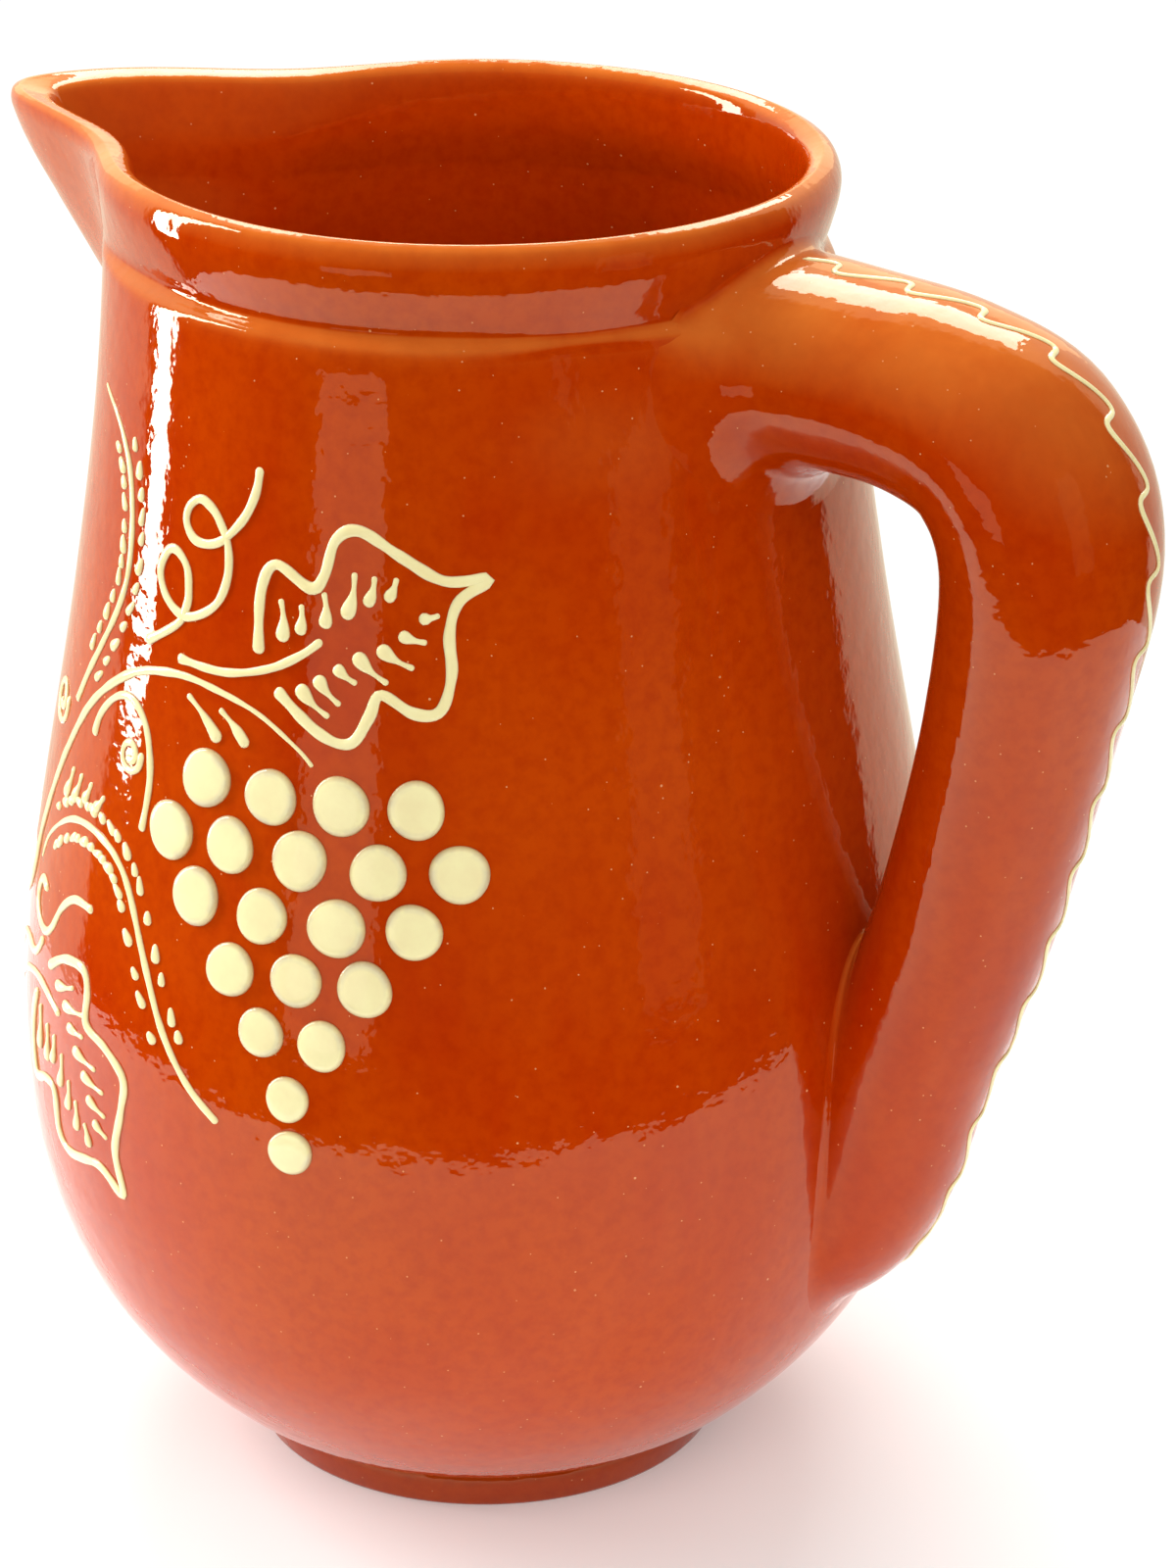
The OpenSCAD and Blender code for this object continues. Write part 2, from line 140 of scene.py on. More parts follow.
def ramp(tree, factor, stops):
    node = addNode(tree, "ShaderNodeValToRGB", None, Fac=factor)
    while len(node.color_ramp.elements) < len(stops):
        node.color_ramp.elements.new(0.5)
    for element, (place, colour) in zip(node.color_ramp.elements, stops):
        element.position = place
        element.color = (*colour, 1)
    return node.outputs["Color"]


def greyRamp(tree, factor, *stops):
    return ramp(tree, factor, [(place, (level,) * 3) for place, level in stops])


def blendColour(tree, factor, first, second, kind="MIX"):
    node = tree.nodes.new("ShaderNodeMix")
    node.data_type = "RGBA"
    node.blend_type = kind
    # the factor and the two colours of a colour mix are its inputs 0, 6 and 7
    for place, value in ((0, factor), (6, first), (7, second)):
        fillSocket(tree, node.inputs[place], (*value, 1) if isinstance(value, tuple) else value)
    return node.outputs[2]


def calc(tree, operation, first, second):
    node = tree.nodes.new("ShaderNodeMath")
    node.operation = operation
    fillSocket(tree, node.inputs[0], first)
    fillSocket(tree, node.inputs[1], second)
    return node.outputs[0]


def times(tree, first, second):
    return calc(tree, "MULTIPLY", first, second)


def noise(tree, coordinates, scale, detail, roughness=0.5):
    node = addNode(tree, "ShaderNodeTexNoise", None, Vector=coordinates, Scale=scale, Detail=detail,
                   Roughness=roughness)
    return node.outputs["Fac"]


def stretched(tree, coordinates, scale):
    return addNode(tree, "ShaderNodeMapping", None, Vector=coordinates, Scale=scale).outputs["Vector"]


def specks(tree, coordinates, scale, size, share):
    # pale grains: a small dot in some of the cells
    cells = addNode(tree, "ShaderNodeTexVoronoi", {"feature": "F1"}, Vector=coordinates, Scale=scale)
    lot = addNode(tree, "ShaderNodeSeparateColor", None, Color=cells.outputs["Color"]).outputs[0]
    dotMask = calc(tree, "LESS_THAN", cells.outputs["Distance"], size)
    return times(tree, dotMask, calc(tree, "LESS_THAN", lot, share))


def addBump(tree, shader, height, distance, strength):
    bump = addNode(tree, "ShaderNodeBump", None, Height=height, Distance=distance, Strength=strength)
    tree.links.new(bump.outputs["Normal"], shader.inputs["Normal"])


glazeLook = {
    "deep": (0.45, 0.021, 0.0), "amber": (0.56, 0.060, 0.0), "dark": (0.36, 0.012, 0.0),
    # the up-facing colour on the next line is partly thinner glaze and partly a painted highlight
    "thinGlazeAndSheen": (0.76, 0.21, 0.03), "speck": (0.85, 0.42, 0.18),
    "streaks": 0.55, "bands": 0.45, "grain": 0.35,      # how strongly each pattern colours
    "grains": [(300, 0.06, 0.22, 0.75), (560, 0.08, 0.26, 0.65)],      # scale, size, share, strength
    "roughness": 0.028, "gloss": 1.56, "mirrorTint": (1.0, 0.92, 0.60),
    "peel": 0.30, "waves": 0.9, "rings": 0.15, "relief": 0.0006,
}


def glazeMaterial(name, look, paintedShadeTone=1.0):
    material, tree, shader = newTree(name)
    place = objectPlace(tree)
    clouds = noise(tree, place, 16, 4)
    streaks = noise(tree, stretched(tree, place, (70, 70, 7)), 1, 4, 0.6)
    bands = noise(tree, stretched(tree, place, (26, 26, 5)), 1, 5, 0.65)
    grain = noise(tree, place, 420, 3, 0.6)
    colour = ramp(tree, clouds, [(0.3, look["deep"]), (0.72, look["amber"])])
    mask = times(tree, greyRamp(tree, streaks, (0.42, 0), (0.75, 1)), look["streaks"])
    colour = blendColour(tree, mask, colour, look["amber"])
    mask = times(tree, greyRamp(tree, bands, (0.50, 0), (0.62, 1)), look["bands"])
    colour = blendColour(tree, mask, colour, look["amber"])
    mask = times(tree, greyRamp(tree, grain, (0.3, 1), (0.6, 0)), look["grain"])
    colour = blendColour(tree, mask, colour, look["dark"])
    # surfaces that face up get a lighter colour, broken up by the streaks: partly the glaze running thinner
    # there, partly a painted highlight of the light from above
    normal = tree.nodes.new("ShaderNodeNewGeometry").outputs["Normal"]
    upward = addNode(tree, "ShaderNodeSeparateXYZ", None, Vector=normal).outputs[2]
    mask = times(tree, greyRamp(tree, upward, (0.15, 0), (1.0, 1)),
                 greyRamp(tree, streaks, (0.25, 0.5), (0.7, 0.9)))
    colour = blendColour(tree, mask, colour, look["thinGlazeAndSheen"])
    for scale, size, share, strength in look["grains"]:
        mask = times(tree, specks(tree, place, scale, size, share), strength)
        colour = blendColour(tree, mask, colour, look["speck"])
    # a tone below 1 paints shade: the whole glaze is multiplied darker and redder
    if paintedShadeTone != 1.0:
        colour = blendColour(tree, 1.0, colour, (paintedShadeTone, paintedShadeTone * 0.9, paintedShadeTone * 0.9), "MULTIPLY")
    tree.links.new(colour, shader.inputs["Base Color"])
    rough = greyRamp(tree, clouds, (0.3, look["roughness"]), (0.7, look["roughness"] * 1.6))
    tree.links.new(rough, shader.inputs["Roughness"])
    shader.inputs["IOR"].default_value = look["gloss"]
    shader.inputs["Specular Tint"].default_value = (*look["mirrorTint"], 1)
    # fine peel, slow waviness and the faint rings left by the wheel
    peel = times(tree, noise(tree, place, 300, 2), look["peel"])
    waves = times(tree, noise(tree, place, 48, 4, 0.55), look["waves"])
    rings = times(tree, noise(tree, stretched(tree, place, (4, 4, 210)), 1, 2), look["rings"])
    addBump(tree, shader, calc(tree, "ADD", peel, calc(tree, "ADD", waves, rings)), look["relief"], 0.5)
    return material


slipLook = {
    "cream": (1.0, 0.93, 0.50), "warm": (0.97, 0.84, 0.40), "rim": (0.66, 0.36, 0.13),
    "grey": (0.60, 0.55, 0.42),
    "rimStart": 0.88, "rimShare": 0.85, "greyShare": 0.6, "grainShare": 0.25,
    "glazeOver": 1.0, "glazeRoughness": 0.05, "glazeGloss": 1.5,      # clear glaze over the slip
}


def slipMaterial(name, look):
    material, tree, shader = newTree(name)
    place = objectPlace(tree)
    edge = addNode(tree, "ShaderNodeAttribute", {"attribute_name": "edgeShade"}).outputs["Fac"]
    patches = noise(tree, place, 170, 3, 0.6)
    grain = noise(tree, place, 900, 2, 0.6)
    rim = look["rimStart"]
    colour = ramp(tree, patches, [(0.35, look["cream"]), (0.75, look["warm"])])
    mask = times(tree, greyRamp(tree, edge, (rim - 0.12, 0), (rim + 0.1, 1)),
                 greyRamp(tree, patches, (0.45, 0), (0.62, 1)))
    colour = blendColour(tree, times(tree, mask, look["greyShare"]), colour, look["grey"])
    mask = times(tree, greyRamp(tree, edge, (rim + 0.02, 0), (1.0, 1)), look["rimShare"])
    colour = blendColour(tree, mask, colour, look["rim"])
    mask = times(tree, greyRamp(tree, grain, (0.28, 1), (0.42, 0)), look["grainShare"])
    colour = blendColour(tree, mask, colour, look["warm"])
    tree.links.new(colour, shader.inputs["Base Color"])
    tree.links.new(greyRamp(tree, patches, (0.3, 0.30), (0.7, 0.45)), shader.inputs["Roughness"])
    shader.inputs["Specular IOR Level"].default_value = 0.2
    shader.inputs["Coat Weight"].default_value = look["glazeOver"]
    shader.inputs["Coat Roughness"].default_value = look["glazeRoughness"]
    shader.inputs["Coat IOR"].default_value = look["glazeGloss"]
    addBump(tree, shader, calc(tree, "ADD", patches, times(tree, grain, 0.3)), 0.0003, 0.4)
    return material


clayLook = {"base": (0.40, 0.130, 0.050), "pale": (0.52, 0.21, 0.10)}


def rawClayMaterial(name, look):
    material, tree, shader = newTree(name)
    place = objectPlace(tree)
    grain = noise(tree, place, 700, 4, 0.7)
    rings = addNode(tree, "ShaderNodeTexWave", {"wave_type": "RINGS", "rings_direction": "Z"},
                    Vector=place, Scale=150, Distortion=1.5, Detail=2).outputs["Fac"]
    tree.links.new(blendColour(tree, grain, look["base"], look["pale"]), shader.inputs["Base Color"])
    tree.links.new(greyRamp(tree, grain, (0.2, 0.75), (0.8, 0.95)), shader.inputs["Roughness"])
    addBump(tree, shader, calc(tree, "ADD", grain, rings), 0.0004, 0.6)
    return material


glaze = glazeMaterial("orangeGlaze", glazeLook)
# darker copies of the same glaze paint shade on the inside of the pot and on the foot under the belly
insideShadedGlaze = glazeMaterial("insideShadedGlaze", dict(glazeLook, rings=0.3), 0.97)
footShadedGlaze = glazeMaterial("footShadedGlaze", dict(glazeLook, rings=0.2), 0.66)
slip = slipMaterial("creamSlip", slipLook)
grapeLook = dict(slipLook, warm=(0.95, 0.84, 0.45), rim=(0.56, 0.36, 0.14), rimStart=0.80)
grapeSlip = slipMaterial("grapeSlip", grapeLook)
rawClay = rawClayMaterial("rawClay", clayLook)
print("finishes made")

# thrown body with its lip and spout, one continuous skin

body = {
    # share of the height, share of the belly radius
    "outline": [(0.030, 0.545), (0.058, 0.665), (0.112, 0.81), (0.175, 0.917), (0.255, 0.983), (0.344, 1),
                (0.433, 0.983), (0.54, 0.93), (0.674, 0.859), (0.807, 0.8), (0.92, 0.755)],
    "wall": 5.0, "floor": 3.0, "lipShare": 0.7434, "lipThick": 5.6, "lipWidest": 3.4, "groove": 2.1,
    "column": 1.5, "fineColumn": 0.5, "fineTo": 30,      # degrees from one column to the next
    "crestRows": 5, "insideShadedGlazeRow": 6,
}
spout = {
    "reach": 32.0, "flank": 13.5, "thicken": 1.6, "shoulder": 4.5, "root": 0.76, "droop": 2.0, "half": 84.0,
    "nose": 0.1, "rollFrom": 26, "rollOver": 38, "sharpness": 1.7, "rise": 1.35,
    "droopTip": 60, "droopSpread": 46,
}
# the shoulder sinks a little on both sides of the handle's root
shoulderDip = {"depth": 2.3, "angle": 142, "spread": 12, "from": 182, "fadeIn": 16, "to": 207, "fadeOut": 4}

outer = smoothCurve([(z * potHeight, r * bellyRadius) for z, r in body["outline"]], 7)
neckZ = outer[-1][0]
neckRadius = outer[-1][1]
lipRadius = body["lipShare"] * bellyRadius
lipInside = lipRadius - body["lipThick"]
grooveRadius = lipRadius - body["groove"]
lipWidest = potHeight - body["lipWidest"]
lipCrest = (lipRadius - body["lipThick"] / 2, potHeight)
lipOut = smoothCurve([
    (neckRadius, neckZ), (neckRadius - 0.6, neckZ + 1.9), (grooveRadius + 0.5, neckZ + 3.2),
    (grooveRadius, neckZ + 4.3), (grooveRadius + 1, neckZ + 7.6), (lipRadius - 0.1, potHeight - 6.2),
    (lipRadius, lipWidest), (lipRadius - 1, potHeight - 1), lipCrest], 5)
lipIn = smoothCurve([
    lipCrest, (lipInside + 0.9, potHeight - 1), (lipInside, potHeight - 3), (lipInside - 0.5, potHeight - 8),
    (lipInside - 0.2, potHeight - 12), (neckRadius - body["wall"], neckZ)], 5)
floorZ = footTop + body["floor"]
inner = [(r - body["wall"], z) for z, r in outer if z > potHeight * 0.125]
floorCurve = smoothCurve([(0.4, floorZ), (footRadius * 0.4, floorZ + 0.2), (footRadius * 0.7, floorZ + 0.7),
                          (footRadius + 7, floorZ + 7), inner[0]], 5)[:-1]
skinZ = np.concatenate([outer[:, 0], lipOut[1:, 1]])
skinR = np.concatenate([outer[:, 1], lipOut[1:, 0]])


def spoutShare(z):
    # 0 at the spout's root, 1 at the lip
    return (z - potHeight * spout["root"]) / (potHeight * (1 - spout["root"]))


def pullOut(angle, z, inside=False):
    # how far the wall is pulled outward; angle is measured from the spout's middle
    h = spoutShare(z)
    if h <= 0 or abs(angle) >= spout["half"]:
        return 0.0
    flank = spout["flank"] + (0 if inside else spout["thicken"] * h)
    beak = math.exp(-(abs(angle) / (flank * (0.4 + 0.6 * h))) ** spout["sharpness"])
    shoulder = math.cos(math.radians(90 * angle / spout["half"])) ** 2 * h * h
    rise = math.sin(math.radians(90 * min(h, 1) ** spout["rise"]))
    pull = spout["reach"] * beak * rise + spout["shoulder"] * shoulder
    if not inside:
        return pull
    return pull * (1 - spout["nose"] * math.exp(-(abs(angle) / flank) ** spout["sharpness"]))


def handleDip(angle, z):
    aside = math.exp(-((abs(angle) - shoulderDip["angle"]) / shoulderDip["spread"]) ** 2)
    below = ease((z - shoulderDip["from"]) / shoulderDip["fadeIn"])
    above = ease((shoulderDip["to"] - z) / shoulderDip["fadeOut"])
    return shoulderDip["depth"] * aside * below * above


def wallRadius(angle, z):
    return float(np.interp(z, skinZ, skinR)) + pullOut(angle, z) - handleDip(angle, z)


def wallPoint(angle, z, lift):
    # angle from the spout's middle, positive towards the back
    r = wallRadius(angle, z)
    slope = (wallRadius(angle, z + 0.4) - wallRadius(angle, z - 0.4)) / 0.8
    length = math.hypot(1, slope)
    a = math.radians(180 - angle)
    r += lift / length
    return np.array([r * math.cos(a), r * math.sin(a), z - lift * slope / length])


def buildBody():
    angles = []
    a = -180.0
    while a < 180 - 1e-6:
        angles.append(a)
        a += body["fineColumn"] if abs(a + 0.01) < body["fineTo"] else body["column"]
    rowLength = len(angles)
    # the lip's outline without groove and roll, used where it runs into the spout
    lipPlain = [neckRadius + (lipRadius - neckRadius) * min((z - neckZ) / (lipWidest - neckZ), 1)
                if z < lipWidest else r for r, z in lipOut]
    columns = []
    for angle in angles:
        roll = ease((abs(angle) - spout["rollFrom"]) / spout["rollOver"])
        column = [(footRadius - 1, footTop)] + [(r, z) for z, r in outer]
        column += [(plain + (r - plain) * roll, z) for (r, z), plain in zip(lipOut[1:], lipPlain[1:])]
        insideFrom = len(column) - 1
        column += [(r, z) for r, z in lipIn[1:]]
        column += [(r, z) for r, z in inner[::-1][1:]]
        column += [(r, z) for r, z in floorCurve[::-1]]
        rad = math.radians(180 - angle)
        line = []
        tip, broad = math.exp(-angle * angle / spout["droopTip"]), math.exp(-(angle / spout["droopSpread"]) ** 4)
        droop = spout["droop"] * (tip + broad) / 2
        for i, (r, z) in enumerate(column):
            if i <= insideFrom:
                r = r + pullOut(angle, z) - handleDip(angle, z)
            else:
                # over the crest the pull changes from the outer skin's to the inner one's
                share = ease((i - insideFrom) / body["crestRows"])
                r = r + pullOut(angle, z) * (1 - share) + pullOut(angle, z, True) * share
            line.append((r * math.cos(rad), r * math.sin(rad), z - droop * max(spoutShare(z), 0) ** 4))
        columns.append(line)
    rows = len(columns[0])
    points = np.array([columns[c][i] for i in range(rows) for c in range(rowLength)])
    faces = gridFaces(rows, rowLength)
    glazeFrom = insideFrom + body["insideShadedGlazeRow"]
    faceMaterial = [1 if i > glazeFrom else 0 for i in range(rows - 1) for _ in range(rowLength)]
    points = np.vstack([points, [[0, 0, floorZ]]])
    last = (rows - 1) * rowLength
    for k in range(rowLength):
        faces.append((last + k, last + (k + 1) % rowLength, len(points) - 1))
        faceMaterial.append(1)
    makePiece("thrownBody", points, faces, [glaze, insideShadedGlaze], ["body_wall", "rim_lip", "spout"],
              faceMaterial=faceMaterial)


def buildFoot():
    # glazed side, bare turned underside with a shallow hollow
    profile = [
        (0.01, 0.9), (footRadius * 0.5, 0.9), (footRadius - 9, 0.9), (footRadius - 7.5, 0.5),
        (footRadius - 6.5, 0.0), (footRadius - 3, 0.0), (footRadius - 0.9, 0.0), (footRadius - 0.3, 0.25),
        (footRadius, 0.8), (footRadius + 0.2, footTop * 0.5), (footRadius + 0.8, footTop - 0.3),
        (footRadius + 0.2, footTop)]
    sides, bareRows = 144, 6
    points = np.array([(r * math.cos(2 * math.pi * k / sides), r * math.sin(2 * math.pi * k / sides), z)
                       for r, z in profile for k in range(sides)])
    faces = gridFaces(len(profile), sides)
    faceMaterial = [0 if i < bareRows else 1 for i in range(len(profile) - 1) for _ in range(sides)]
    makePiece("turnedFoot", points, faces, [rawClay, footShadedGlaze], ["foot"],
              faceMaterial=faceMaterial)


buildBody()
buildFoot()
print("body and foot made")

# strap handle, drawn out of both joints in one skin

strap = {
    # middle line: distance from the axis and height, as shares of the height
    "line": [(0.215, 0.891), (0.305, 0.891), (0.382, 0.883), (0.441, 0.855), (0.4685, 0.786),
             (0.4505, 0.662), (0.4177, 0.526), (0.391, 0.4455), (0.368, 0.383), (0.3435, 0.301),
             (0.315, 0.248), (0.262, 0.205)],
    # width and thickness there, as shares of the full size
    "sizes": [(1.15, 1.1), (1.05, 1), (1, 1), (1, 1.06), (0.97, 1.07), (0.82, 0.97), (0.77, 0.93),
              (0.75, 0.92), (0.74, 0.92), (0.74, 0.9), (0.72, 0.85), (0.66, 0.8)],
    "width": 39.0, "thick": 30.0, "sides": 72, "rows": 90,
    "topBlend": (3.0, 10.0), "lowBlend": (5.0, 3.0),     # soft run-out at the outer side and at the flanks
    "lipFrom": 200.0, "blendRows": 9, "sink": -0.12,
}
strapLine = np.array(strap["line"]) * potHeight
strapSizes = np.array(strap["sizes"])
strapLast = len(strapLine) - 1
# stretches of the middle line where the strap comes out of the wall, from inside to outside
topExit, lowExit = (0.0, 1.6), (float(strapLast), 6.0)


def strapFrame(u):
    # middle, direction and size shares of the strap
    c = curvePoint(strapLine, u)
    t = unit(curvePoint(strapLine, min(u + 0.08, strapLast)) - curvePoint(strapLine, max(u - 0.08, 0)))
    s = curvePoint(strapSizes, u)
    return c, t, s


def strapPoint(u, angle):
    # angle runs round the strap from its outer side
    c, t, s = strapFrame(u)
    out = math.cos(angle) * strap["thick"] / 2 * s[1]
    side = math.sin(angle) * strap["width"] / 2 * s[0]
    return np.array([c[0] - t[1] * out, side, c[1] + t[0] * out])


def outsideWall(p):
    return math.hypot(p[0], p[1]) > np.interp(p[2], skinZ, skinR)


def strapExit(angle, low, high):
    # where the strap's side line comes out of the wall
    for _ in range(18):
        middle = (low + high) / 2
        if outsideWall(strapPoint(middle, angle)):
            high = middle
        else:
            low = middle
    return high


def onWall(p, lift):
    # the point of the wall beside p, kept between the foot and the lip
    angle = 180 - math.degrees(math.atan2(p[1], p[0]))
    angle = (angle + 180) % 360 - 180
    return wallPoint(angle, min(max(p[2], 8), potHeight - 1.2), lift)


def wallNormal(p):
    return unit(onWall(p, 1.0) - onWall(p, 0.0))


def blendEnd(low, high, reach):
    # run-out curve from the strap's side lines onto the wall, for every side line
    sides = strap["sides"]
    turns = [2 * math.pi * k / sides for k in range(sides)]
    exits = [strapExit(a, low, high) for a in turns]
    exitPoints = np.array([strapPoint(u, a) for u, a in zip(exits, turns)])
    centre = exitPoints.mean(axis=0)
    away = 1 if high > low else -1
    starts, curves = [], []
    for a, u, p in zip(turns, exits, exitPoints):
        # short run-out at the outer side and on the lip, long at the flanks
        outerShare = max(max(math.cos(a), 0) ** 2, ease((p[2] - strap["lipFrom"]) / 8))
        size = reach[0] * outerShare + reach[1] * (1 - outerShare)
        speed = np.linalg.norm(strapPoint(u + away * 0.05, a) - strapPoint(u, a)) / 0.05
        start = u + away * size / speed
        n = wallNormal(p)
        spread = p - centre
        spread = unit(spread - n * np.dot(spread, n))
        p0, p2 = strapPoint(start, a), onWall(p + spread * size, strap["sink"])
        starts.append(start)
        curves.append([p0 * (1 - t) ** 2 + p * 2 * t * (1 - t) + p2 * t * t
                       for t in np.linspace(0, 1, strap["blendRows"])])
    return starts, curves


def buildHandle():
    sides, rows = strap["sides"], strap["rows"]
    topStarts, topCurves = blendEnd(*topExit, strap["topBlend"])
    lowStarts, lowCurves = blendEnd(*lowExit, strap["lowBlend"])
    points = []
    for j in range(len(topCurves[0]) - 1, 0, -1):
        points += [topCurves[k][j] for k in range(sides)]
    for j in range(rows + 1):
        for k in range(sides):
            u = topStarts[k] + (lowStarts[k] - topStarts[k]) * j / rows
            points.append(strapPoint(u, 2 * math.pi * k / sides))
    for j in range(1, len(lowCurves[0])):
        points += [lowCurves[k][j] for k in range(sides)]
    count = len(points) // sides
    makePiece("strapHandle", np.array(points), gridFaces(count, sides), [glaze],
              ["handle", "upper_joint_clay", "lower_joint_clay"])


buildHandle()
print("handle made")

# slip trails
# places on the wall are [angle from the motif's edge under the spout, height]

trailing = {
    "width": 1.5, "height": 0.55, "turn": 3.0, "spacing": 0.55, "across": 8, "sink": 0.07, "spread": 1.05,
}

mainStem = [
    (-3, 86), (14, 88), (29, 94), (40, 101), (43, 112), (47, 122), (51, 130), (56, 138), (62, 144),
    (69, 148.5), (77, 150.5), (84, 150), (91, 148), (97, 144), (99.5, 141.5)]
leafOutline = [
    (90.5, 157), (90.3, 166.5), (92.5, 171), (98, 168.3), (100, 170.5), (101.5, 176), (105, 177.7),
    (111, 174.3), (117, 171), (123, 171.3), (119, 168), (117.7, 163), (118, 157), (116.5, 151.5),
    (113, 151), (108.5, 153.5), (107, 150), (104.5, 145.7), (100, 146.8), (93.5, 152.3)]
leafRib = [(76.5, 153), (85, 153), (92, 155), (97, 158), (100, 160.7)]
leafDrops = [
    ((93.5, 166), (94, 159.5)), ((96.7, 165.7), (96.6, 161)), ((100, 168), (100.3, 162.5)),
    ((104.4, 171.5), (103.2, 164.3)), ((107.3, 171.2), (106.2, 166.5)), ((110.4, 171.2), (109, 167.5)),
    ((116.4, 165.9), (113.5, 165.2)), ((114.7, 161.7), (110.8, 162.8)), ((113, 157.7), (108, 160.7)),
    ((109.5, 155.2), (104.8, 159.4)), ((105.2, 154.8), (102, 157.2)), ((103, 151.3), (99.4, 155.3)),
    ((101.5, 149.3), (96.8, 153.5))]
tendrilTop = [
    (89, 185), (88.5, 181), (86.5, 176.5), (82.5, 172.3), (78.3, 171.5), (76, 173.7), (76.3, 176.3),
    (78.5, 178), (81, 177), (82.6, 175.2), (84.2, 172.2), (84.5, 167.3), (82.5, 162.5), (77.5, 159.6),
    (73.3, 161.2), (71.2, 165), (72.5, 168.5), (74.5, 169), (76.8, 167), (77.5, 163.5), (77.4, 161.5),
    (76.3, 158.6), (73.5, 156.2), (69.5, 153.5)]
upperSprig = [
    (48, 187.3), (55, 184), (60, 179), (62.3, 173), (63.2, 167), (63, 161), (61, 155), (57.5, 148.5),
    (54, 142.5), (51.3, 137)]
lowerSprig = [
    (45.5, 108), (47, 112), (50.5, 115.8), (55.4, 119.2), (60, 120.5), (64.5, 120.2), (68.6, 118.5),
    (72, 114.5), (76, 105.5), (80.3, 95), (84.5, 88), (89, 83.3)]
lowLeaf = [
    (54.3, 94), (59, 97.6), (64, 98.4), (65.5, 95.5), (65.7, 90), (70, 88), (73.7, 84.5), (73.3, 79),
    (71.8, 71), (72.7, 63.7), (68, 66.5), (60.5, 64.7), (57.4, 67), (56.8, 73.5), (53.5, 74),
    (49.5, 72.3), (48.3, 77), (48.7, 83), (50, 87.6)]
lowLeafRib = [(30, 77), (37, 83), (44, 88), (51, 90), (58.5, 87.8)]
lowLeafDrops = [
    ((62, 94.2), (57, 92.3)), ((65, 91), (59.5, 90.3)), ((65, 87.3), (61, 87.4)),
    ((68, 83.2), (62.7, 84.4)), ((69.7, 80), (64.8, 81.2)), ((70, 76), (66, 77.7)),
    ((70.2, 72.4), (67.3, 74.2)), ((51.7, 86), (51.3, 78)), ((54.5, 84.2), (54.3, 77.5)),
    ((57, 83.6), (56.3, 78.3)), ((59.4, 81.6), (58.5, 75.4)), ((61.3, 78), (60.6, 72.5)),
    ((63, 75.4), (62.8, 70)), ((65, 72.5), (66, 68.6))]
lowTendril = [
    (64.7, 108.3), (60, 108), (56.5, 105), (54, 100.5), (51.5, 98.5), (48.2, 99.5), (46.6, 102.5),
    (47.8, 105.6), (50.5, 104.9)]
lowTendrilEnd = [(51, 97), (49.5, 94.5), (47, 92.7), (43, 93), (38, 91), (31, 84.5)]
swirlHook = [
    (59, 134.5), (60, 138.3), (63, 142), (66.4, 143.7), (69.5, 142.8), (72, 139.5), (73.5, 133),
    (73, 124.5)]
smallDrops = [
    ((54, 127.2), (52, 121.6)), ((57, 127.4), (55, 122)), ((60.2, 127.3), (58.4, 123.4)),
    ((64, 126.6), (61.7, 123.6)), ((79, 148), (85.2, 142.3)), ((84.8, 147.3), (89.7, 142.6))]


